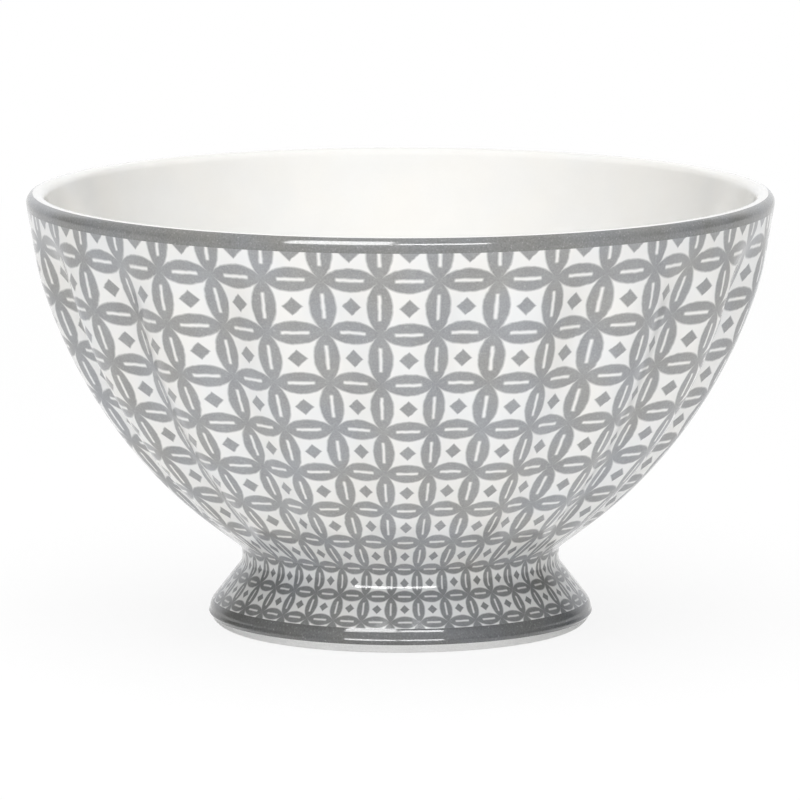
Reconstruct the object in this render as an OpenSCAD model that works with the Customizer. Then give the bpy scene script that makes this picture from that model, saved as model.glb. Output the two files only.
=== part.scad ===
// Footed bowl with a fluted wall.
// A round clay cup with soft upright flutes is luted onto a flared hollow foot. White glaze lines
// the cup and the hollow of the foot, and a printed coat with a plain band at each edge covers the
// outside. The foot stands at zero height and the bowl's axis is the Z axis. A ridge faces -Y.

/* [Cup] */
// Overall height, from the standing ring to the crest of the lip
bowl_h = 88; // [84:0.5:92]
// Outside diameter at the lip
rim_d = 150.4; // [144:0.2:156]
// Width of the rounded lip
lip_w = 4; // [3:0.1:5]
// Radius of the wall's outer arc, seen from the side
side_r = 101; // [96:0.5:108]
// Thickness of the wall at half its height, from its plain arc to the cavity
wall_t = 5.8; // [5.2:0.1:6.6]
// How much larger the radius of the cavity's upper arc is than the wall's
cavity_ease = 11; // [8:0.5:14]
// Height of the cavity's lowest point
floor_h = 12.5; // [11.5:0.1:14]
// Thickness of the floor under the cavity's lowest point
floor_t = 4.5; // [3.5:0.1:6]

/* [Flutes] */
// Number of flutes round the wall
flute_count = 18; // [12:1:24]
// Depth of a flute at the lip's diameter, from its ridge to its valley
flute_depth = 3.6; // [1:0.1:4]
// How far a ridge stands out from the wall's arc at the lip's diameter
flute_rise = 0.8; // [0:0.1:1.4]
// Sharpness of the valleys, where 1 is an even wave and more is narrower
flute_sharpness = 1.4; // [1:0.1:2]
// Height over which the flutes grow, below the rim band
flute_growth_h = 15; // [8:0.5:20]
// Height over which the flutes die away, above the foot
flute_end_h = 12; // [6:0.5:18]

/* [Foot] */
// Height of the seam between the cup and the foot
seam_h = 16.2; // [15.8:0.1:17.5]
// Outside diameter of the foot's waist
waist_d = 63.8; // [62:0.1:66]
// How far the foot's edge stands out beyond its waist
foot_flare = 6.6; // [5.6:0.1:7.6]
// Radius of the foot's rounded edge
foot_edge_r = 3.3; // [2.8:0.1:3.8]
// Radius of the hollow curve between the waist and the flare
neck_r = 7.1; // [5:0.1:8]
// Angle between the flare and the axis, in degrees
flare_angle = 38; // [36:0.5:42]
// Thickness of the foot's wall at the seam
foot_wall = 3.8; // [3:0.1:4.5]
// How far the cup's round underside reaches past the foot's hollow at the seam
underside_reach = 0.9; // [0.4:0.1:1.5]
// Width of the standing ring, from its inner corner to the rounded edge
ring_w = 4; // [3:0.1:5]
// Radius that softens the standing ring's inner corner
ring_round_r = 1.2; // [0.8:0.1:1.6]

/* [Glaze] */
// Thickness of every plain coat of glaze
glaze_t = 0.4; // [0.3:0.05:0.6]
// How much thicker the printed coat on the wall is, where it lies in a step below the lip
print_step = 0.1; // [0.1:0.05:0.3]
// Height of the bare clay above the ground
bare_h = 2; // [1.8:0.1:2.6]
// Height of the grey band at the foot's edge
foot_band_h = 3.2; // [2:0.1:5]
// Height of the grey band at the rim, below the crest of the lip
rim_band_h = 3; // [2.6:0.1:6]
// Distance from the lip's outer edge to the white glaze on its crest
rim_band_inset = 1.3; // [0.8:0.1:1.5]

/* [Hidden] */

// Steps round each flute and steps up the fluted wall
steps_per_flute = 8;
wall_steps = 12;
// Steps round every plain round surface
$fn = 360;
// How far cutting shapes run past what they cut
overrun = 1;

rim_r = rim_d / 2;
waist_r = waist_d / 2;
lip_r = lip_w / 2;
print_t = glaze_t + print_step;
band_low_h = bowl_h - rim_band_h;
foot_band_top_h = bare_h + foot_band_h;

// Outlines are drawn as [distance from the axis, height].
// Where two circles meet, on the left of the way from the first centre to the second
function meeting(p, p_r, q, q_r) =
    let (
        gap = norm(q - p),
        along = (p_r * p_r - q_r * q_r + gap * gap) / (2 * gap),
        away = sqrt(p_r * p_r - along * along),
        way = (q - p) / gap
    )
    p + along * way + away * [-way[1], way[0]];

// The lip's round, and the wall's arc, which touches it and reaches the waist at the seam
lip_c = [rim_r - lip_r, bowl_h - lip_r];
side_c = meeting([waist_r, seam_h], side_r, lip_c, side_r - lip_r);

// The cavity's upper arc, which touches the lip and leaves the wall its thickness at half its height
half_h = (seam_h + lip_c[1]) / 2;
cavity_side_r = side_r + cavity_ease;
cavity_side_c = meeting(
    [wall_r(half_h, wall_t), half_h],
    cavity_side_r,
    lip_c,
    cavity_side_r + lip_r
);

// The cavity's round bottom, which touches its upper arc and its lowest point
cavity_rise = cavity_side_c[1] - floor_h;
cavity_base_r =
    (pow(cavity_side_r, 2) - pow(norm([cavity_side_c[0], cavity_rise]), 2))
    / (2 * (cavity_side_r - cavity_rise));
base_c = [0, floor_h + cavity_base_r];
cavity_side_way = (base_c - cavity_side_c) / norm(base_c - cavity_side_c);

// The foot's rounded edge, straight flare and hollow neck, each touching the next
flare_way = [cos(flare_angle), sin(flare_angle)];
edge_c = [waist_r + foot_flare - foot_edge_r, foot_edge_r];
flare_low = edge_c + foot_edge_r * flare_way;
flare_top_r = waist_r + neck_r * (1 - flare_way[0]);
flare_top_h = flare_low[1] + (flare_low[0] - flare_top_r) / tan(flare_angle);
neck_c = [flare_top_r, flare_top_h] + neck_r * flare_way;

// The hollow of the foot, and the round at the inner corner of its standing ring
ring_in_r = edge_c[0] - ring_w;
hollow_top_r = waist_r - foot_wall;
hollow_angle = atan((ring_in_r - hollow_top_r) / seam_h);
hollow_way = [cos(hollow_angle), sin(hollow_angle)];
ring_round_c = [
    ring_in_r + ring_round_r * (1 - hollow_way[1]) / hollow_way[0],
    ring_round_r
];

// The cup's round underside, through its lowest point and its reach at the seam
underside_low_h = floor_h - floor_t;
underside_edge_r = hollow_top_r + underside_reach;
underside_rise = seam_h - underside_low_h;
underside_r = (pow(underside_edge_r, 2) + pow(underside_rise, 2)) / (2 * underside_rise);
underside_c = [0, underside_low_h + underside_r];

// Radius of the wall's plain arc at a height, at a depth below the finished surface
function wall_r(h, depth) =
    side_c[0] + sqrt(pow(side_r - depth, 2) - pow(h - side_c[1], 2));

// A smooth step from 0 to 1
function eased(x) =
    let (t = min(max(x, 0), 1))
    t * t * (3 - 2 * t);

// Share of the full flute at a height: none at the rim band and none at the seam
function flute_share(h) =
    eased((band_low_h - h) / flute_growth_h) * eased((h - seam_h) / flute_end_h);

// How far the fluted wall stands out from its plain arc, at a height and an angle
function flute_offset(h, angle) =
    let (valley = pow((1 - cos(flute_count * angle)) / 2, flute_sharpness))
    flute_share(h) * wall_r(h, 0) / rim_r * (flute_rise - flute_depth * valley);

// Angles round the wall, from the ridge at the front, and heights spaced evenly along its arc
round_steps = flute_count * steps_per_flute;
wall_angles = [for (i = [0 : round_steps - 1]) 360 * i / round_steps];
low_tilt = asin((side_c[1] - seam_h) / side_r);
high_tilt = asin((side_c[1] - band_low_h) / side_r);
wall_heights = [
    for (i = [0 : wall_steps])
        i == 0 ? seam_h
        : i == wall_steps ? band_low_h
        : side_c[1] - side_r * sin(low_tilt + (high_tilt - low_tilt) * i / wall_steps)
];
// The clay wall runs on into the lip
clay_heights = concat(wall_heights, [(band_low_h + lip_c[1]) / 2]);

// One ring of points round the fluted wall
function wall_ring(h, depth) = [
    for (angle = wall_angles)
        let (r = wall_r(h, depth) + flute_offset(h, angle))
        [r * sin(angle), -r * cos(angle), h]
];

// Joins rings of points, each above or inside the last, into a closed solid. A looped solid
// returns to its first ring, and any other is closed by a flat face at each end.
module loft(rings, looped) {
    n = len(rings[0]);
    m = len(rings);
    sides = [
        for (j = [0 : looped ? m - 1 : m - 2], i = [0 : n - 1], half = [0, 1])
            let (
                a = j * n + i,
                b = j * n + (i + 1) % n,
                c = (j + 1) % m * n + (i + 1) % n,
                d = (j + 1) % m * n + i
            )
            half == 0 ? [a, c, b] : [a, d, c]
    ];
    bottom = [for (i = [0 : n - 1]) i];
    top = [for (i = [n - 1 : -1 : 0]) (m - 1) * n + i];
    polyhedron(
        points = [for (ring = rings) each ring],
        faces = looped ? sides : concat(sides, [bottom, top])
    );
}

// The half plane outside the axis, between two heights
module band_between(low_h, high_h) {
    translate([0, low_h])
        square([rim_r + overrun, high_h - low_h]);
}

// The inside of the cup, at a depth below its finished surface
module cavity_outline(depth) {
    reach = cavity_side_c + (cavity_side_r + lip_w) * cavity_side_way;
    intersection() {
        union() {
            translate(base_c)
                circle(cavity_base_r + depth);
            intersection() {
                translate(cavity_side_c)
                    circle(cavity_side_r + depth);
                polygon([
                    cavity_side_c,
                    reach,
                    [rim_d, reach[1]],
                    [rim_d, bowl_h + rim_r],
                    [cavity_side_c[0], bowl_h + rim_r]
                ]);
            }
        }
        band_between(0, bowl_h + overrun);
    }
}

// The cup's plain outside with its lip, at a depth below the finished surface
module cup_outline(depth) {
    reach = side_c + (side_r + lip_w) * (lip_c - side_c) / norm(lip_c - side_c);
    intersection() {
        union() {
            translate(lip_c)
                circle(lip_r - depth);
            intersection() {
                translate(side_c)
                    circle(side_r - depth);
                polygon([
                    lip_c,
                    reach,
                    [rim_d, 0],
                    [cavity_side_c[0], 0],
                    cavity_side_c
                ]);
            }
        }
        band_between(0, bowl_h + overrun);
    }
}

// The cup's wall and lip without flutes, cut away to the cavity
module lip_outline(depth) {
    difference() {
        cup_outline(depth);
        cavity_outline(depth);
    }
}

// The cup's round underside, inside the foot
module cap_outline(depth) {
    translate(underside_c)
        circle(underside_r - depth);
}

// The outside of the foot, filled to the axis, at a depth below the finished surface
module foot_outline(depth) {
    intersection() {
        difference() {
            union() {
                translate(edge_c)
                    circle(foot_edge_r - depth);
                polygon([
                    [0, 0],
                    [edge_c[0], 0],
                    edge_c,
                    edge_c + (foot_edge_r - depth) * flare_way,
                    neck_c - (neck_r + depth) * flare_way,
                    neck_c,
                    [waist_r - depth, neck_c[1]],
                    [waist_r - depth, seam_h],
                    [0, seam_h]
                ]);
            }
            translate(neck_c)
                circle(neck_r + depth);
        }
        band_between(0, seam_h);
    }
}

// The hollow of the foot below the cup, at a depth below the finished surface
module hollow_outline(depth) {
    difference() {
        polygon([
            [0, 0],
            [ring_in_r + depth, 0],
            [hollow_top_r + depth, seam_h],
            [0, seam_h]
        ]);
        cap_outline(depth);
    }
}

// What the round takes off the standing ring's inner corner
module ring_corner_outline() {
    difference() {
        polygon([
            [ring_in_r, 0],
            [ring_round_c[0], 0],
            ring_round_c,
            ring_round_c - ring_round_r * hollow_way
        ]);
        translate(ring_round_c)
            circle(ring_round_r);
    }
}

// The part of a coat on the outside of the foot between two heights
module foot_coat(low_h, high_h) {
    rotate_extrude()
        intersection() {
            difference() {
                foot_outline(0);
                foot_outline(glaze_t);
            }
            band_between(low_h, high_h);
        }
}

module clay_cup() {
    color("antiquewhite")
        difference() {
            union() {
                loft([for (h = clay_heights) wall_ring(h, print_t)], looped = false);
                rotate_extrude()
                    intersection() {
                        cup_outline(glaze_t);
                        band_between(band_low_h, bowl_h);
                    }
                rotate_extrude()
                    intersection() {
                        cap_outline(glaze_t);
                        band_between(0, seam_h + overrun);
                    }
            }
            rotate_extrude()
                cavity_outline(glaze_t);
        }
}

module clay_foot() {
    color("linen")
        rotate_extrude()
            difference() {
                union() {
                    intersection() {
                        foot_outline(glaze_t);
                        band_between(bare_h, seam_h);
                    }
                    intersection() {
                        foot_outline(0);
                        band_between(0, bare_h);
                    }
                }
                intersection() {
                    hollow_outline(glaze_t);
                    band_between(bare_h, seam_h);
                }
                hollow_outline(0);
                cap_outline(glaze_t);
                ring_corner_outline();
            }
}

module inner_glaze() {
    color("white")
        rotate_extrude()
            intersection() {
                difference() {
                    lip_outline(0);
                    lip_outline(glaze_t);
                }
                union() {
                    cavity_outline(2 * glaze_t);
                    translate([0, lip_c[1]])
                        square([rim_r - rim_band_inset, lip_w]);
                }
            }
}

module underside_glaze() {
    color("snow")
        rotate_extrude()
            intersection() {
                difference() {
                    hollow_outline(glaze_t);
                    hollow_outline(0);
                }
                band_between(bare_h, seam_h);
            }
}

module rim_band() {
    color("darkgray")
        rotate_extrude()
            intersection() {
                difference() {
                    lip_outline(0);
                    lip_outline(glaze_t);
                }
                translate([rim_r - rim_band_inset, band_low_h])
                    square([lip_w, rim_band_h]);
            }
}

module bowl_print() {
    color("silver")
        loft(
            concat(
                [for (h = wall_heights) wall_ring(h, 0)],
                [for (i = [wall_steps : -1 : 0]) wall_ring(wall_heights[i], print_t)]
            ),
            looped = true
        );
}

module foot_print() {
    color("silver")
        foot_coat(foot_band_top_h, seam_h);
}

module foot_band() {
    color("dimgray")
        foot_coat(bare_h, foot_band_top_h);
}

clay_cup();
clay_foot();
inner_glaze();
underside_glaze();
rim_band();
bowl_print();
foot_print();
foot_band();
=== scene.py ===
"""A footed bowl: smooth glazed coats and their finishes, laid on the packed clay."""

import math

import bmesh
import bpy
import numpy as np
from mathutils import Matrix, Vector


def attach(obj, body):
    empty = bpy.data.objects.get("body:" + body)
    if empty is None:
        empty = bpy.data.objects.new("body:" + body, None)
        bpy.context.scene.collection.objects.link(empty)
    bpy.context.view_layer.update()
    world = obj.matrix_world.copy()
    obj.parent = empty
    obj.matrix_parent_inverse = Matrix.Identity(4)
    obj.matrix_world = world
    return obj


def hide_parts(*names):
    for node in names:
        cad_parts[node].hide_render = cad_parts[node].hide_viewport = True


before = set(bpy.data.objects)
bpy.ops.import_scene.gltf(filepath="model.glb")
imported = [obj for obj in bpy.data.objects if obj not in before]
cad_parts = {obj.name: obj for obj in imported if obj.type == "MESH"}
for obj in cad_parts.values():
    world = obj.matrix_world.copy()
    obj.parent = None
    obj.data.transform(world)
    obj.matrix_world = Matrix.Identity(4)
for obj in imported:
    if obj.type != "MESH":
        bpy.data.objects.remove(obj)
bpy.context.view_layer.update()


# Sizes in millimetres, as the part's source gives them. Outlines are [distance from the axis,
# height], and they become metres where a mesh is made.
MM = 0.001
BOWL_H, RIM_R, LIP_R = 88.0, 75.2, 2.0
SIDE_R, CAVITY_SIDE_R, WALL_T = 101.0, 112.0, 5.8
FLOOR_H, FLOOR_T = 12.5, 4.5
FLUTES, FLUTE_DEPTH, FLUTE_RISE, FLUTE_SHARPNESS = 18, 3.6, 0.8, 1.4
FLUTE_GROWTH_H, FLUTE_END_H = 15.0, 12.0
SEAM_H, WAIST_R, FOOT_FLARE, FOOT_EDGE_R = 16.2, 31.9, 6.6, 3.3
NECK_R, FLARE_ANGLE, FOOT_WALL, UNDERSIDE_REACH = 7.1, math.radians(38), 3.8, 0.9
RING_W = 4.0
GLAZE_T, PRINT_T, BARE_H = 0.4, 0.5, 2.0
RIM_BAND_H, FOOT_BAND_H, BAND_INSET = 3.0, 3.2, 1.3
BAND_LOW_H = BOWL_H - RIM_BAND_H
FOOT_BAND_TOP_H = BARE_H + FOOT_BAND_H
CREST_R = RIM_R - BAND_INSET

# Finish that the source leaves out, in millimetres too: the glazed foot's tighter neck, the
# glaze pooled at the seam, and the roll that ends the glaze of the foot's band.
GLAZED_NECK_R, POOL_W = 3.2, 0.7
ROLL_RISE, ROLL_W, ROLL_T = 0.72, 0.4, 0.28

# How finely the surfaces are divided, round the axis and along their outlines, and the angle
# past which an edge isn't shaded smooth.
ROUND_STEPS, HOLLOW_ROUND_STEPS, FLUTE_STEPS = 480, 360, 40
WALL_STEPS, WALL_CLAY_STEPS = 96, 16
LIP_STEPS, LIP_WALL_STEPS = 24, 4
CAVITY_BASE_STEPS, CAVITY_SIDE_STEPS, CAVITY_LIP_STEPS = 32, 48, 16
FOOT_STEPS = 64
HOLLOW_CAP_STEPS, HOLLOW_WALL_STEPS, SEARCH_POINTS = 48, 24, 4000
SHARP_ANGLE = math.radians(28)


def meeting(p, p_r, q, q_r):
    """Where two circles meet, on the left of the way from p to q.

    Along that way lies (p_r^2 - q_r^2 + gap^2) / (2 gap), and the rest of p_r lies across it.
    """
    p, q = np.array(p), np.array(q)
    gap = np.linalg.norm(q - p)
    along = (p_r ** 2 - q_r ** 2 + gap ** 2) / (2 * gap)
    way = (q - p) / gap
    return p + along * way + math.sqrt(p_r ** 2 - along ** 2) * np.array([-way[1], way[0]])


def bearing(centre, point):
    """The angle of a point as seen from a centre, in an outline."""
    return math.atan2(point[1] - centre[1], point[0] - centre[0])


LIP_C = np.array([RIM_R - LIP_R, BOWL_H - LIP_R])
SIDE_C = meeting([WAIST_R, SEAM_H], SIDE_R, LIP_C, SIDE_R - LIP_R)
HALF_H = (SEAM_H + LIP_C[1]) / 2
HALF_R = SIDE_C[0] + math.sqrt((SIDE_R - WALL_T) ** 2 - (HALF_H - SIDE_C[1]) ** 2)
CAVITY_C = meeting([HALF_R, HALF_H], CAVITY_SIDE_R, LIP_C, CAVITY_SIDE_R + LIP_R)
CAVITY_RISE = CAVITY_C[1] - FLOOR_H
CAVITY_BASE_R = ((CAVITY_SIDE_R ** 2 - CAVITY_C[0] ** 2 - CAVITY_RISE ** 2)
                 / (2 * (CAVITY_SIDE_R - CAVITY_RISE)))
BASE_C = np.array([0.0, FLOOR_H + CAVITY_BASE_R])
FLARE_WAY = np.array([math.cos(FLARE_ANGLE), math.sin(FLARE_ANGLE)])
EDGE_C = np.array([WAIST_R + FOOT_FLARE - FOOT_EDGE_R, FOOT_EDGE_R])
FLARE_LOW = EDGE_C + FOOT_EDGE_R * FLARE_WAY
FLARE_TOP_R = WAIST_R + NECK_R * (1 - FLARE_WAY[0])
FLARE_TOP = np.array([
    FLARE_TOP_R,
    FLARE_LOW[1] + (FLARE_LOW[0] - FLARE_TOP_R) / math.tan(FLARE_ANGLE),
])
NECK_C = FLARE_TOP + NECK_R * FLARE_WAY
HOLLOW_TOP_R = WAIST_R - FOOT_WALL
UNDERSIDE_LOW_H = FLOOR_H - FLOOR_T
UNDERSIDE_RISE = SEAM_H - UNDERSIDE_LOW_H
UNDERSIDE_R = ((HOLLOW_TOP_R + UNDERSIDE_REACH) ** 2 + UNDERSIDE_RISE ** 2) / (2 * UNDERSIDE_RISE)
UNDERSIDE_C = np.array([0.0, UNDERSIDE_LOW_H + UNDERSIDE_R])


def arc(centre, radius, start, end, steps):
    """Points on a circle: centre + radius * (cos, sin) at evenly spaced angles."""
    turn = np.linspace(start, end, steps + 1)
    return np.c_[centre[0] + radius * np.cos(turn), centre[1] + radius * np.sin(turn)]


def eased(x):
    """A smooth step: t^2 (3 - 2 t), with t held between 0 and 1."""
    t = np.clip(x, 0, 1)
    return t * t * (3 - 2 * t)


def shell(finished, clay):
    """The closed outline of a coat: along its finished surface and back along the clay's."""
    return np.concatenate([finished, clay[::-1]])


def arc_length(outline):
    """Distance along an outline up to each of its points."""
    return np.r_[0, np.cumsum(np.linalg.norm(np.diff(outline, axis=0), axis=1))]


# Meshes

def grid_mesh(name, points, lengths, looped):
    """A smooth closed mesh from rows of points that each go once round the axis.

    points is (rows, columns, 3) in millimetres, and lengths gives each row's distance along the
    outline. A looped surface returns to its first row; any other starts and ends at a pole, where
    the row shrinks to one point. The UV map "print" holds (turns round the axis, length in
    millimetres), so a pattern can count its repeats round the bowl and its rows down the wall.
    """
    rows, columns = points.shape[:2]
    lengths = np.asarray(lengths, dtype=float)
    row = np.arange(rows if looped else rows - 1)
    j, i = np.meshgrid(row, np.arange(columns), indexing="ij")
    j, i = j.ravel(), i.ravel()
    after_j, after_i = (j + 1) % rows, (i + 1) % columns
    corners = np.stack([j * columns + i, j * columns + after_i,
                        after_j * columns + after_i, after_j * columns + i], axis=1)
    turn = np.stack([i, i + 1, i + 1, i], axis=1) / columns
    along = np.stack([lengths[j], lengths[j], lengths[after_j], lengths[after_j]], axis=1)
    faces = corners.tolist()
    uv = np.stack([turn, along], axis=2)
    if not looped:
        low, high = corners[:, 0] < columns, corners[:, 2] >= (rows - 1) * columns
        body = ~(low | high)
        first, last = np.full(columns, 0), np.full(columns, (rows - 1) * columns)
        low_fan = np.stack([first, corners[low, 2], corners[low, 3]], axis=1)
        high_fan = np.stack([corners[high, 0], corners[high, 1], last], axis=1)
        faces = corners[body].tolist() + low_fan.tolist() + high_fan.tolist()
        uv = np.concatenate([
            uv[body].reshape(-1, 2),
            uv[low][:, [0, 2, 3]].reshape(-1, 2),
            uv[high][:, [0, 1, 2]].reshape(-1, 2),
        ])
    mesh = bpy.data.meshes.new(name)
    mesh.from_pydata((points.reshape(-1, 3) * MM).tolist(), [], faces)
    layer = mesh.uv_layers.new(name="print")
    layer.data.foreach_set("uv", uv.astype(np.float32).ravel())
    mesh.polygons.foreach_set("use_smooth", np.ones(len(faces), dtype=bool))
    mesh.update()
    mesh.set_sharp_from_angle(angle=SHARP_ANGLE)
    if not looped:
        drop_unused_points(mesh)
    piece = bpy.data.objects.new(name, mesh)
    bpy.context.collection.objects.link(piece)
    return piece


def drop_unused_points(mesh):
    """Removes the points of a pole's row that no face uses."""
    work = bmesh.new()
    work.from_mesh(mesh)
    loose = [point for point in work.verts if not point.link_faces]
    bmesh.ops.delete(work, geom=loose, context="VERTS")
    work.to_mesh(mesh)
    work.free()


def turned(name, outline, columns, looped=True):
    """A piece of revolution: each outline point (r, h) becomes (r sin a, -r cos a, h).

    The angle a goes round the axis from the back of the bowl, so that the seam is behind.
    """
    angle = math.pi + np.linspace(0, 2 * math.pi, columns, endpoint=False)
    r, h = outline[:, 0][:, None], outline[:, 1][:, None]
    points = np.stack([r * np.sin(angle), -r * np.cos(angle), h + 0 * angle], axis=2)
    return grid_mesh(name, points, arc_length(outline), looped)


def finish_piece(piece, material, node):
    """Gives a piece its material, hangs it under the root and hides the CAD node that it stands
    for.
    """
    piece.data.materials.append(material)
    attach(piece, "root")
    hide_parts(node)
    return piece


def side_angle(h, radius):
    """The angle on the wall's arc, of the given radius, at a height."""
    return math.asin((h - SIDE_C[1]) / radius)


def pooled(h):
    """How far the glaze stands out where it has pooled in the corner between wall and foot.

    With x the height above the seam and slope the wall's dr/dh there, it is
    slope * (sqrt(x^2 + width^2) - |x|) / 2, which rounds the corner off.
    """
    slope = -math.tan(side_angle(SEAM_H, SIDE_R))
    x = h - SEAM_H
    return slope * (np.sqrt(x * x + POOL_W ** 2) - np.abs(x)) / 2


def fluted_wall():
    """The printed coat on the wall, a closed shell between a finished surface and the clay.

    At a height h the plain radius is side centre + sqrt((side radius - depth)^2 - (h - centre
    height)^2). The flutes add share * r / rim radius * (rise - depth * v), where v is
    ((1 - cos(flutes * a)) / 2) ^ sharpness, a is the angle from the front, and share eases in
    below the rim band and out above the foot.
    """
    columns = FLUTES * FLUTE_STEPS

    def surface(depth, rows, upward):
        tilt = np.linspace(side_angle(SEAM_H, SIDE_R), side_angle(BAND_LOW_H, SIDE_R), rows + 1)
        h = SIDE_C[1] + SIDE_R * np.sin(tilt)
        h[0], h[-1] = SEAM_H, BAND_LOW_H
        h = h if upward else h[::-1]
        angle = math.pi + np.linspace(0, 2 * math.pi, columns, endpoint=False)
        plain = SIDE_C[0] + np.sqrt((SIDE_R - depth) ** 2 - (h - SIDE_C[1]) ** 2)
        finished = SIDE_C[0] + np.sqrt(SIDE_R ** 2 - (h - SIDE_C[1]) ** 2)
        share = eased((BAND_LOW_H - h) / FLUTE_GROWTH_H) * eased((h - SEAM_H) / FLUTE_END_H)
        valley = ((1 - np.cos(FLUTES * angle)) / 2) ** FLUTE_SHARPNESS
        offset = (share * finished / RIM_R)[:, None] * (FLUTE_RISE - FLUTE_DEPTH * valley)
        r = (plain + (pooled(h) if depth == 0 else 0))[:, None] + offset
        length = SIDE_R * (side_angle(BAND_LOW_H, SIDE_R) - np.arcsin((h - SIDE_C[1]) / SIDE_R))
        points = np.stack([r * np.sin(angle), -r * np.cos(angle), h[:, None] + 0 * angle], axis=2)
        return points, length

    outer, outer_length = surface(0, WALL_STEPS, True)
    inner, inner_length = surface(PRINT_T, WALL_CLAY_STEPS, False)
    return grid_mesh("printed_wall", np.concatenate([outer, inner]),
                     np.r_[outer_length, inner_length], True)


def lip_outline(depth):
    """The lip's round and the top of the wall, from where the band starts on the lip's crest to
    the band's lower edge, at a depth below the finished surface."""
    start = math.acos((CREST_R - LIP_C[0]) / (LIP_R - depth))
    return np.concatenate([
        arc(LIP_C, LIP_R - depth, start, bearing(SIDE_C, LIP_C), LIP_STEPS),
        arc(SIDE_C, SIDE_R - depth, bearing(SIDE_C, LIP_C),
            side_angle(BAND_LOW_H, SIDE_R - depth), LIP_WALL_STEPS)[1:],
    ])


def cavity_outline(depth):
    """The inside of the cup from its lowest point to where the band starts on the lip's crest, at
    a depth below the finished surface: the base arc, the side arc and the lip's round."""
    base_end = bearing(CAVITY_C, BASE_C)
    side_end = bearing(CAVITY_C, LIP_C)
    end = math.acos((CREST_R - LIP_C[0]) / (LIP_R - depth))
    return np.concatenate([
        arc(BASE_C, CAVITY_BASE_R + depth, -math.pi / 2, base_end, CAVITY_BASE_STEPS),
        arc(CAVITY_C, CAVITY_SIDE_R + depth, base_end, side_end, CAVITY_SIDE_STEPS)[1:],
        arc(LIP_C, LIP_R - depth, side_end + math.pi, end, CAVITY_LIP_STEPS)[1:],
    ])


def foot_r(h, depth):
    """The foot's outside at heights h: the rounded edge, the straight flare, the hollow neck and
    the upright waist, at a depth below the finished surface. The finished neck turns tighter than
    the clay's, because the glaze runs thin there, and glaze pools at the seam above it."""
    edge = EDGE_C[0] + np.sqrt(np.maximum((FOOT_EDGE_R - depth) ** 2 - (h - EDGE_C[1]) ** 2, 0))
    flare_from = EDGE_C + (FOOT_EDGE_R - depth) * FLARE_WAY
    centre, radius = NECK_C, NECK_R + depth
    if depth == 0:
        corner_h = FLARE_LOW[1] + (FLARE_LOW[0] - WAIST_R) / math.tan(FLARE_ANGLE)
        radius = GLAZED_NECK_R
        centre = np.array([WAIST_R + radius, corner_h + radius * math.tan(FLARE_ANGLE / 2)])
    flare_to = centre - radius * FLARE_WAY
    flare = flare_from[0] - (h - flare_from[1]) * math.tan(FLARE_ANGLE)
    neck = centre[0] - np.sqrt(np.maximum(radius ** 2 - (h - centre[1]) ** 2, 0))
    r = np.select([h >= centre[1], h >= flare_to[1], h >= flare_from[1]],
                  [WAIST_R - depth, neck, flare], edge)
    return r + pooled(h) if depth == 0 else r


def foot_coat_outline():
    """The printed coat from the seam down the foot to its band."""
    h = np.linspace(SEAM_H, FOOT_BAND_TOP_H, FOOT_STEPS + 1)
    return shell(np.c_[foot_r(h, 0), h], np.c_[foot_r(h, GLAZE_T), h])


def foot_band_outline():
    """The grey band on the foot's edge. Its glaze ends in a low roll above the bare clay: a bump
    of exp(-((h - roll height) / roll width)^2) stands out from the finished surface."""
    roll_h = BARE_H + ROLL_RISE
    h = np.linspace(FOOT_BAND_TOP_H, BARE_H, FOOT_STEPS + 1)
    out = foot_r(h, 0) + ROLL_T * np.exp(-((h - roll_h) / ROLL_W) ** 2)
    return shell(np.c_[out, h], np.c_[foot_r(h, GLAZE_T), h])


def underside_outline():
    """The coat in the foot's hollow: out along the cup's round underside from the axis and down
    the hollow's wall to the bare clay, and back at the clay's depth."""
    ring_in_r = EDGE_C[0] - RING_W
    slope = (ring_in_r - HOLLOW_TOP_R) / SEAM_H

    def side(depth):
        radius = UNDERSIDE_R - depth
        h = np.linspace(UNDERSIDE_LOW_H + depth, SEAM_H, SEARCH_POINTS)
        cap = np.sqrt(np.maximum(radius ** 2 - (UNDERSIDE_C[1] - h) ** 2, 0))
        wall = HOLLOW_TOP_R + depth + (SEAM_H - h) * slope
        turn = np.argmax(cap >= wall) if (cap >= wall).any() else len(h) - 1
        end = -math.pi / 2 + math.asin(cap[turn] / radius)
        down = np.linspace(h[turn], BARE_H, HOLLOW_WALL_STEPS + 1)
        return np.concatenate([
            arc(UNDERSIDE_C, radius, -math.pi / 2, end, HOLLOW_CAP_STEPS),
            np.c_[HOLLOW_TOP_R + depth + (SEAM_H - down) * slope, down],
        ])

    return shell(side(0), side(GLAZE_T))


# Node trees

FLOAT, VECTOR = "NodeSocketFloat", "NodeSocketVector"


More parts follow.
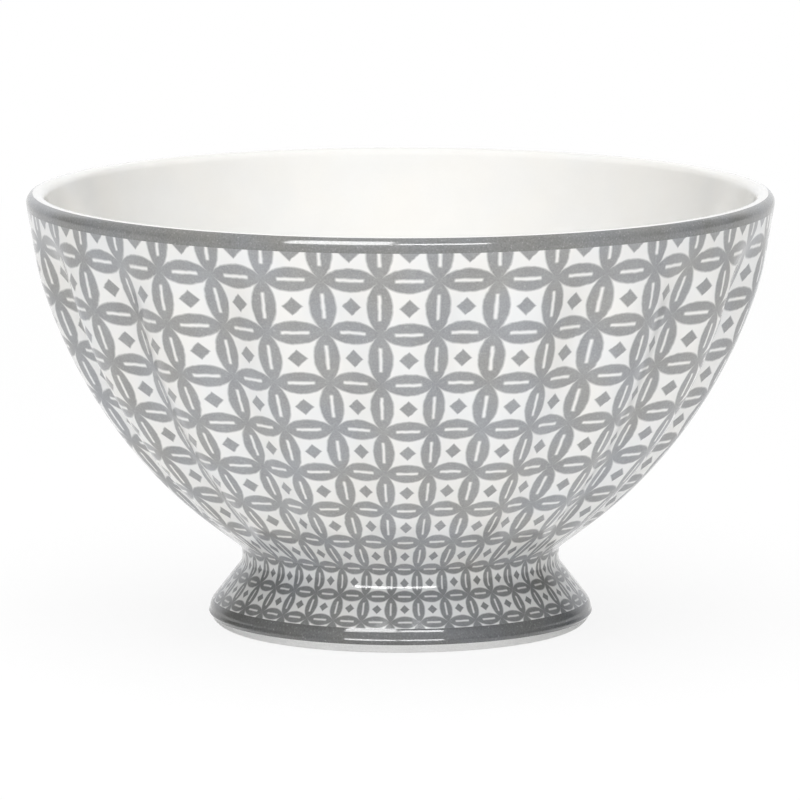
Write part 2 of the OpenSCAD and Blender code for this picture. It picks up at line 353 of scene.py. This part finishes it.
class Nodes:
    """Short ways to fill a node tree. A value may be a socket to link or a plain value."""

    def __init__(self, tree):
        self.tree = tree

    def node(self, kind, **values):
        """A new node with some of its properties set."""
        made = self.tree.nodes.new(kind)
        for key, value in values.items():
            setattr(made, key, value)
        return made

    def put(self, socket, value):
        """Links a socket to another one, or sets its plain value."""
        if isinstance(value, bpy.types.NodeSocket):
            self.tree.links.new(value, socket)
        else:
            socket.default_value = value

    def maths(self, operation, *values, clamp=False):
        """One operation on one or two numbers."""
        made = self.node("ShaderNodeMath", operation=operation, use_clamp=clamp)
        for socket, value in zip(made.inputs, values):
            self.put(socket, value)
        return made.outputs[0]

    def mix(self, share, first, second, blend="MIX"):
        """A share of the second colour in the first. A mix node's colours are inputs 6 and 7."""
        made = self.node("ShaderNodeMix", data_type="RGBA", blend_type=blend)
        for place, value in ((0, share), (6, first), (7, second)):
            self.put(made.inputs[place], value)
        return made.outputs[2]

    def step(self, value, low, high, start=0.0, end=1.0):
        """Goes smoothly from start to end while the value goes from low to high."""
        made = self.node("ShaderNodeMapRange", interpolation_type="SMOOTHSTEP")
        for label, given in (("Value", value), ("From Min", low), ("From Max", high),
                             ("To Min", start), ("To Max", end)):
            self.put(made.inputs[label], given)
        return made.outputs[0]

    def noise(self, vector, scale, detail=2.0):
        """Soft lumps from 0 to 1, about as many to the metre as the scale says."""
        made = self.node("ShaderNodeTexNoise")
        for label, given in (("Vector", vector), ("Scale", scale), ("Detail", detail)):
            self.put(made.inputs[label], given)
        return made.outputs[0]

    def bump(self, shader, height, strength, distance):
        """Feeds a height to a shader's normal."""
        made = self.node("ShaderNodeBump")
        for label, given in (("Height", height), ("Strength", strength), ("Distance", distance)):
            self.put(made.inputs[label], given)
        self.put(shader.inputs["Normal"], made.outputs[0])

    def group(self, which, **values):
        """Places a group, with its inputs linked or set by name."""
        made = self.node("ShaderNodeGroup", node_tree=which)
        for label, value in values.items():
            self.put(made.inputs[label], value)
        return made


def new_group(name, inputs, outputs):
    """A new node group: the ways to fill it, its inputs' sockets and its outputs' sockets."""
    made = bpy.data.node_groups.new(name, "ShaderNodeTree")
    for label, kind, value in inputs:
        socket = made.interface.new_socket(label, in_out="INPUT", socket_type=kind)
        if value is not None:
            socket.default_value = value
    for label in outputs:
        made.interface.new_socket(label, in_out="OUTPUT", socket_type=FLOAT)
    entry, leave = made.nodes.new("NodeGroupInput"), made.nodes.new("NodeGroupOutput")
    return Nodes(made), entry.outputs[:len(inputs)], leave.inputs


# The lattice in shares of a cell: the rings' radius, half of a slit's width and length, half of
# the diamond's width, and how far the edges wobble. Then the wobble's lumps to the metre, and
# how far the print stands out among the glaze's waves.
RING_SHARE, SLIT_W_SHARE, SLIT_L_SHARE, DIAMOND_SHARE = 0.725, 0.03, 0.24, 0.17
WOBBLE_SHARE, WOBBLE_SCALE, PRINT_RISE = 0.035, 700, 0.02


def petal_lattice_group():
    """A mask of rings that overlap on a square lattice, so that four petals meet at each corner.

    In a cell, a and b are the distances from its middle. A petal lies where a point is also
    inside the ring round the next cell's middle: (1 - a)^2 + b^2 < radius^2, or the same with a
    and b exchanged. A slit runs down the middle of each petal, and a diamond fills the cell.
    """
    make, given, results = new_group("petal_lattice", [
        ("Across", FLOAT, 0.0), ("Down", FLOAT, 0.0), ("Radius", FLOAT, RING_SHARE),
        ("Softness", FLOAT, 0.03), ("Slit", FLOAT, SLIT_W_SHARE),
        ("Diamond", FLOAT, DIAMOND_SHARE),
    ], ["Mask"])
    maths = make.maths
    across, down, radius, soft, slit, diamond = given
    a = maths("ABSOLUTE", maths("SUBTRACT", maths("FRACT", across), 0.5))
    b = maths("ABSOLUTE", maths("SUBTRACT", maths("FRACT", down), 0.5))

    def far(x, y):
        return maths("SQRT", maths("ADD", maths("POWER", maths("SUBTRACT", 1.0, x), 2.0),
                                   maths("POWER", y, 2.0)))

    def inside(limit, value):
        return maths("ADD", maths("DIVIDE", maths("SUBTRACT", limit, value), soft), 0.5,
                     clamp=True)

    petal = inside(radius, maths("MINIMUM", far(a, b), far(b, a)))
    edge = maths("SUBTRACT", 0.5, maths("MAXIMUM", a, b))
    along = maths("MINIMUM", a, b)
    vein = maths("MULTIPLY", inside(slit, edge), inside(SLIT_L_SHARE, along))
    petal = maths("MULTIPLY", petal, maths("SUBTRACT", 1.0, vein))
    middle = inside(diamond, maths("ADD", a, b))
    make.put(results[0], maths("MAXIMUM", petal, middle))
    return make.tree


# Lumps to the metre of the glaze's grain, clouds and tint, and where a speck and the cool tint
# begin in their noise and how fast they grow.
GRAIN_SCALE, CLOUD_SCALE, TINT_SCALE = 2600, 160, 75
SPECK_FROM, SPECK_GAIN = 0.66, 8.0
TINT_FROM, TINT_GAIN = 0.35, 3.3


def speckle_group():
    """Fine grain in a printed or painted grey: small dark and light specks, slow clouds of light
    and dark, and slower ones from 0 to 1 that a tint follows."""
    make, (vector, grain, clouds), results = new_group("speckle", [
        ("Vector", VECTOR, None), ("Grain", FLOAT, 0.5), ("Clouds", FLOAT, 0.5),
    ], ["Shade", "Specks", "Tint"])
    maths = make.maths
    fine, slow = make.noise(vector, GRAIN_SCALE), make.noise(vector, CLOUD_SCALE, 3.0)
    uneven = maths("ADD", maths("MULTIPLY", maths("SUBTRACT", fine, 0.5), grain),
                   maths("MULTIPLY", maths("SUBTRACT", slow, 0.5), clouds))
    tint = make.noise(vector, TINT_SCALE)
    make.put(results["Shade"], maths("ADD", 1.0, uneven))
    make.put(results["Specks"],
             maths("MULTIPLY", maths("SUBTRACT", fine, SPECK_FROM), SPECK_GAIN, clamp=True))
    make.put(results["Tint"],
             maths("MULTIPLY", maths("SUBTRACT", tint, TINT_FROM), TINT_GAIN, clamp=True))
    return make.tree


# Lumps to the metre of the glaze's waves and orange peel, the peel's share, and how strongly and
# how high in metres the glaze and the bare clay rise.
WAVE_SCALE, PEEL_SCALE, PEEL_SHARE = 55, 420, 0.06
GLAZE_BUMP, GLAZE_RISE = 0.1, 0.0006
CLAY_BUMP, CLAY_RISE = 0.25, 0.0001


def glaze_waves_group():
    """The soft unevenness of a glaze: broad waves and a fine orange peel, as a height."""
    make, (vector,), results = new_group("glaze_waves", [("Vector", VECTOR, None)], ["Height"])
    peel = make.maths("MULTIPLY", make.noise(vector, PEEL_SCALE, 1.0), PEEL_SHARE)
    make.put(results[0], make.maths("ADD", make.noise(vector, WAVE_SCALE, 1.0), peel))
    return make.tree


PETALS, SPECKLE, WAVES = petal_lattice_group(), speckle_group(), glaze_waves_group()

# Materials

# A warm tint and a cool one for each white and grey, as the photograph's light shows them.
WALL_WHITES = (0.945, 0.93, 0.895, 1), (0.92, 0.925, 0.92, 1)
# The foot's whites are a darker copy of the wall's white glaze: painted shade under the bowl.
FOOT_WHITES_SHADED = (0.885, 0.873, 0.843, 1), (0.862, 0.868, 0.866, 1)
# The inner whites are a darker copy of the same glaze: painted shade inside the bowl and in the
# foot's hollow.
INNER_WHITES_SHADED = (0.875, 0.862, 0.83, 1), (0.865, 0.86, 0.84, 1)
WALL_GREYS = (0.365, 0.362, 0.352, 1), (0.375, 0.384, 0.4, 1)
# The foot's greys are darker than the wall's: partly a denser print, partly painted shade.
FOOT_GREYS_DENSER_AND_SHADED = (0.275, 0.275, 0.264, 1), (0.275, 0.283, 0.29, 1)
RIM_GREYS = (0.262, 0.26, 0.246, 1), (0.262, 0.268, 0.272, 1)
# The edge greys are a darker copy of the rim's grey paint: painted shade on the foot's band.
EDGE_GREYS_SHADED = (0.2, 0.2, 0.19, 1), (0.2, 0.206, 0.212, 1)
# The ring's clay is paler than the cup's: partly its own pale colour, partly painted light bounced
# from the floor.
RING_CLAY_AND_BOUNCE, CUP_CLAY = (0.93, 0.925, 0.91, 1), (0.84, 0.81, 0.75, 1)

PRINT_ROUGH, WHITE_ROUGH, BAND_ROUGH, RING_ROUGH, CUP_ROUGH = 0.09, 0.07, 0.08, 0.75, 0.8
IOR = 1.5
PRINT_SPECKS, BAND_SPECKS = 0.16, 0.25


def new_material(name, roughness):
    """A material, the ways to fill its tree, its Principled shader and the object's coordinates."""
    material = bpy.data.materials.new(name)
    material.use_nodes = True
    make = Nodes(material.node_tree)
    make.tree.nodes.clear()
    shader = make.node("ShaderNodeBsdfPrincipled")
    make.put(make.node("ShaderNodeOutputMaterial").inputs[0], shader.outputs[0])
    shader.inputs["Roughness"].default_value = roughness
    shader.inputs["IOR"].default_value = IOR
    return material, make, shader, make.node("ShaderNodeTexCoord").outputs["Object"]


def add_waves(make, shader, place, print_height=None):
    """Feeds the glaze's unevenness, with the print's own height if it has one, to the normal."""
    height = make.group(WAVES, Vector=place).outputs[0]
    if print_height is not None:
        height = make.maths("ADD", height, print_height)
    make.bump(shader, height, GLAZE_BUMP, GLAZE_RISE)


def printed_material(name, whites, greys, row_h, first_row, softness):
    """White glaze with the grey petal lattice, counted round the bowl and down its outline."""
    material, make, shader, place = new_material(name, PRINT_ROUGH)
    maths, mix = make.maths, make.mix
    split = make.node("ShaderNodeSeparateXYZ")
    make.put(split.inputs[0], make.node("ShaderNodeUVMap", uv_map="print").outputs[0])
    wobble = make.noise(place, WOBBLE_SCALE)
    shake = maths("MULTIPLY", maths("SUBTRACT", wobble, 0.5), WOBBLE_SHARE)
    across = maths("ADD", maths("MULTIPLY", split.outputs[0], REPEATS),
                   maths("ADD", shake, FIRST_REPEAT))
    down = maths("ADD", maths("DIVIDE", split.outputs[1], row_h), maths("ADD", shake, first_row))
    petals = make.group(PETALS, Across=across, Down=down, Softness=softness).outputs[0]
    speckle = make.group(SPECKLE, Vector=place, Grain=0.45, Clouds=0.28).outputs
    grey = mix(1.0, mix(speckle["Tint"], *greys), speckle["Shade"], "MULTIPLY")
    white = mix(speckle["Tint"], *whites)
    solid = maths("SUBTRACT", 1.0, maths("MULTIPLY", speckle["Specks"], PRINT_SPECKS))
    make.put(shader.inputs["Base Color"], mix(maths("MULTIPLY", petals, solid), white, grey))
    add_waves(make, shader, place, maths("MULTIPLY", petals, PRINT_RISE))
    return material


def shaded_white_material(name):
    """Plain warm white glaze, a little mottled, in a darker copy of the wall's white: painted
    shade.
    """
    material, make, shader, place = new_material(name, WHITE_ROUGH)
    speckle = make.group(SPECKLE, Vector=place, Grain=0.02, Clouds=0.04).outputs
    white = make.mix(speckle["Tint"], *INNER_WHITES_SHADED)
    make.put(shader.inputs["Base Color"], make.mix(1.0, white, speckle["Shade"], "MULTIPLY"))
    add_waves(make, shader, place)
    return material


def band_material(name, greys):
    """Painted grey under the glaze, finely speckled with the white below it."""
    material, make, shader, place = new_material(name, BAND_ROUGH)
    speckle = make.group(SPECKLE, Vector=place, Grain=0.7, Clouds=0.3).outputs
    grey = make.mix(1.0, make.mix(speckle["Tint"], *greys), speckle["Shade"], "MULTIPLY")
    specks = make.maths("MULTIPLY", speckle["Specks"], BAND_SPECKS)
    make.put(shader.inputs["Base Color"], make.mix(specks, grey, WALL_WHITES[0]))
    add_waves(make, shader, place)
    return material


def clay_material(name, colour, roughness):
    """Bare fired clay: matt, with fine grain."""
    material, make, shader, place = new_material(name, roughness)
    speckle = make.group(SPECKLE, Vector=place, Grain=0.22, Clouds=0.12).outputs
    make.put(shader.inputs["Base Color"], make.mix(1.0, colour, speckle["Shade"], "MULTIPLY"))
    make.bump(shader, speckle["Shade"], CLAY_BUMP, CLAY_RISE)
    return material


# The bowl

# The print's repeats round the bowl and where the first one starts. Then, for the wall and for
# the foot, its rows, where the first one starts and how soft its edges are.
REPEATS, FIRST_REPEAT = 40, 0.35
WALL_ROWS, WALL_FIRST_ROW, WALL_SOFTNESS = 7.5, 0.5, 0.04
FOOT_ROWS, FOOT_FIRST_ROW, FOOT_SOFTNESS = 2.25, 0.0, 0.05
WALL_LENGTH = SIDE_R * (side_angle(BAND_LOW_H, SIDE_R) - side_angle(SEAM_H, SIDE_R))
FOOT_LENGTH = arc_length(foot_coat_outline())[FOOT_STEPS]

wall_print = printed_material("wall_print", WALL_WHITES, WALL_GREYS,
                              WALL_LENGTH / WALL_ROWS, WALL_FIRST_ROW, WALL_SOFTNESS)
# The foot's print, in darker copies of the wall's white and grey: painted shade under the bowl.
foot_pattern_shaded = printed_material("foot_pattern_shaded", FOOT_WHITES_SHADED, FOOT_GREYS_DENSER_AND_SHADED,
                                FOOT_LENGTH / FOOT_ROWS, FOOT_FIRST_ROW, FOOT_SOFTNESS)
# The white glaze of the inside and the hollow, darker than the wall's: painted shade.
white_glaze = shaded_white_material("white_glaze")
rim_grey = band_material("rim_grey", RIM_GREYS)
# The foot band's grey, darker than the rim's same paint: painted shade.
edge_grey_shaded = band_material("edge_grey_shaded", EDGE_GREYS_SHADED)
# The bare ring's clay, paler than the cup's: partly painted light bounced from the floor.
bare_clay = clay_material("bare_clay", RING_CLAY_AND_BOUNCE, RING_ROUGH)
clay_body = clay_material("clay_body", CUP_CLAY, CUP_ROUGH)

# The pieces that some lamps light alone, and the lining once more for a lamp that leaves it out.
outside, underneath, ring, lining, all_but_lining = (
    bpy.data.collections.new(name)
    for name in ("outside", "underneath", "ring", "lining", "all_but_lining"))

outside.objects.link(
    finish_piece(fluted_wall(), wall_print, "bowl_print"))
outside.objects.link(finish_piece(
    turned("rim_band_coat", shell(lip_outline(0), lip_outline(GLAZE_T)), ROUND_STEPS),
    rim_grey, "rim_band"))
inner = finish_piece(
    turned("inner_coat", shell(cavity_outline(0), cavity_outline(GLAZE_T)), ROUND_STEPS,
           looped=False),
    white_glaze, "inner_glaze")
lining.objects.link(inner)
all_but_lining.objects.link(inner)
all_but_lining.collection_objects[0].light_linking.link_state = "EXCLUDE"
outside.objects.link(
    finish_piece(turned("foot_print_coat", foot_coat_outline(), ROUND_STEPS),
                 foot_pattern_shaded, "foot_print"))
outside.objects.link(
    finish_piece(turned("foot_band_coat", foot_band_outline(), ROUND_STEPS),
                 edge_grey_shaded, "foot_band"))
underneath.objects.link(finish_piece(
    turned("underside_coat", underside_outline(), HOLLOW_ROUND_STEPS, looped=False),
    white_glaze, "underside_glaze"))

for node_name, material in (("clay_cup", clay_body), ("clay_foot", bare_clay)):
    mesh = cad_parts[node_name].data
    mesh.materials.clear()
    mesh.materials.append(material)
ring.objects.link(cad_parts["clay_foot"])

# The stage, in metres

PURE_WHITE, SKY_WHITE, FLOOR_WHITE = (1, 1, 1, 1), (0.97, 0.98, 1, 1), (0.97, 0.97, 0.97, 1)
FLOOR_REACH, FLOOR_DROP = 6.0, 0.0003
NEAR_WHITE, NEAR_R, FAR_R = 0.88, 0.12, 0.7

# How bright the front of the studio is, and where its parts begin and are full, as the y or z of
# the way that a ray goes.
FRONT_LIGHT = 1.2
HORIZON, FRONT_Y, BACK_Y, BACK_TOP_Z = (-0.02, 0.0), (0.3, 1.0), (0.55, 0.9), (0.5, 0.8)

scene = bpy.context.scene
scene.view_settings.view_transform = "Standard"


def make_floor():
    """A wide pale floor that keeps a faint shadow, and that a view from below looks through.

    The eye sees its own white mixed with the light that falls on it: a share of NEAR_WHITE by the
    bowl, where the shadow lies, which eases to 1 further off. The eye's rays are those from the
    camera, in a mirror or through glass. Rays on the way to a lamp pass through the floor, so that
    the lamps below light the hollow of the foot.
    """
    far = FLOOR_REACH
    mesh = bpy.data.meshes.new("floor")
    mesh.from_pydata([(-far, -far, 0), (far, -far, 0), (far, far, 0), (-far, far, 0)],
                     [], [(0, 1, 2, 3)])
    material = bpy.data.materials.new("floor_white")
    material.use_nodes = True
    make = Nodes(material.node_tree)
    make.tree.nodes.clear()
    rays = make.node("ShaderNodeLightPath").outputs
    plain, glow = make.node("ShaderNodeBsdfDiffuse"), make.node("ShaderNodeEmission")
    make.put(plain.inputs[0], FLOOR_WHITE)
    make.put(glow.inputs[0], PURE_WHITE)
    away = make.node("ShaderNodeVectorMath", operation="LENGTH")
    make.put(away.inputs[0], make.node("ShaderNodeTexCoord").outputs["Object"])
    white = make.step(away.outputs["Value"], NEAR_R, FAR_R, NEAR_WHITE, 1.0)
    eye = make.maths("MAXIMUM", rays["Is Camera Ray"],
                     make.maths("MAXIMUM", rays["Is Glossy Ray"], rays["Is Transmission Ray"]))
    behind = make.node("ShaderNodeNewGeometry").outputs["Backfacing"]
    lit, whole = make.node("ShaderNodeMixShader"), make.node("ShaderNodeMixShader")
    for shader, values in (
            (lit, (make.maths("MULTIPLY", eye, white), plain.outputs[0], glow.outputs[0])),
            (whole, (make.maths("MAXIMUM", behind, rays["Is Shadow Ray"]), lit.outputs[0],
                     make.node("ShaderNodeBsdfTransparent").outputs[0]))):
        for socket, value in zip(shader.inputs, values):
            make.put(socket, value)
    make.put(make.node("ShaderNodeOutputMaterial").inputs[0], whole.outputs[0])
    mesh.materials.append(material)
    floor = bpy.data.objects.new("floor", mesh)
    floor.location.z = -FLOOR_DROP
    bpy.context.collection.objects.link(floor)


def make_world():
    """A studio that is white to the eye, and for the bowl bright in front and dark at the sides.

    For a ray that scatters off the bowl or mirrors in it, the strength goes smoothly from 0 to
    FRONT_LIGHT as the ray turns towards the camera's side, and to white as it turns to the
    backdrop.
    """
    world = bpy.data.worlds.new("studio")
    world.use_nodes = True
    scene.world = world
    make = Nodes(world.node_tree)
    make.tree.nodes.clear()
    maths = make.maths
    way = make.node("ShaderNodeSeparateXYZ")
    make.put(way.inputs[0], make.node("ShaderNodeTexCoord").outputs["Generated"])
    y, z = way.outputs[1:3]
    above = make.step(z, *HORIZON)
    front = maths("MULTIPLY", make.step(maths("MULTIPLY", y, -1.0), *FRONT_Y), above)
    below_top = maths("SUBTRACT", 1.0, make.step(z, *BACK_TOP_Z))
    back = maths("MULTIPLY", make.step(y, *BACK_Y), maths("MULTIPLY", above, below_top))
    level = maths("ADD", maths("MULTIPLY", front, FRONT_LIGHT), back)
    rays = make.node("ShaderNodeLightPath").outputs
    eye = maths("MAXIMUM", rays["Is Camera Ray"], rays["Is Transmission Ray"])
    eye = maths("MAXIMUM", eye, maths("MULTIPLY", rays["Is Glossy Ray"], back))
    sky, out = make.node("ShaderNodeBackground"), make.node("ShaderNodeOutputWorld")
    make.put(sky.inputs[0], make.mix(rays["Is Camera Ray"], SKY_WHITE, PURE_WHITE))
    make.put(sky.inputs[1],
             maths("ADD", level, maths("MULTIPLY", eye, maths("SUBTRACT", 1.0, level))))
    make.put(out.inputs[0], sky.outputs[0])


def softbox(name, sides, near, far, radiance, lights, gloss=False):
    """A flat rectangular lamp between two x values, from its near edge (y, z) to its far edge.

    Its power is pi * area * radiance. It is lit either for what scatters or for what mirrors it,
    and lights the pieces that a collection names.
    """
    width, rise = sides[1] - sides[0], Vector(far) - Vector(near)
    lamp = bpy.data.lights.new(name, "AREA")
    lamp.shape = "RECTANGLE"
    lamp.size, lamp.size_y = width, rise.length
    lamp.energy = math.pi * width * rise.length * radiance
    made = bpy.data.objects.new(name, lamp)
    made.visible_glossy = gloss
    made.visible_diffuse = not gloss
    made.light_linking.receiver_collection = lights
    made.location = (sum(sides) / 2, (near[0] + far[0]) / 2, (near[1] + far[1]) / 2)
    made.rotation_euler.x = math.atan2(rise[1], rise[0])
    bpy.context.collection.objects.link(made)


def make_lamps():
    """Soft light from above and below for what scatters it, and two narrow gleams in the glaze.

    The lining has lamps of its own, with some of its light from the front, so that its bottom
    isn't burnt out where its far side is as bright as in the photograph.
    """
    top_sides, below_sides = (-0.56, 0.5), (-0.3, 0.3)
    # Name, x from and to, near edge (y, z), far edge (y, z), radiance, what it lights
    softbox("overhead", top_sides, (-0.9, 1.0), (0.6, 1.0), 2.82, all_but_lining)
    softbox("overhead_lining", top_sides, (-0.9, 1.02), (0.6, 1.02), 2.3, lining)
    softbox("front_lining", (-0.6, 0.6), (-1.3, 0.2), (-1.1, 1.2), 1.05, lining)
    softbox("below", below_sides, (0.3, -0.5), (-0.3, -0.5), 2.2, underneath)
    softbox("below_ring", below_sides, (0.3, -0.52), (-0.3, -0.52), 0.55, ring)
    softbox("gleam_left", (-0.46, -0.03), (-0.65, 0.45), (-0.4, 1.2), 15.0, outside, gloss=True)
    softbox("gleam_right", (-0.01, 0.34), (-0.65, 0.45), (-0.585, 0.645), 15.0, outside,
            gloss=True)


def make_camera():
    """The photograph's view: 1.716 m from a point 45.4 mm up the axis, 8.476 degrees above it."""
    camera = bpy.data.objects.new("camera", bpy.data.cameras.new("camera"))
    camera.data.lens, camera.data.sensor_width = 382.9, 36
    away, tilt = 1.7164, math.radians(8.476)
    target = Vector((-0.0001, 0, 0.0454))
    back = Vector((0, -math.cos(tilt), math.sin(tilt)))
    camera.location = target + away * back
    camera.rotation_euler = (-back).to_track_quat("-Z", "Y").to_euler()
    bpy.context.collection.objects.link(camera)
    scene.camera = camera


make_floor()
make_world()
make_lamps()
make_camera()
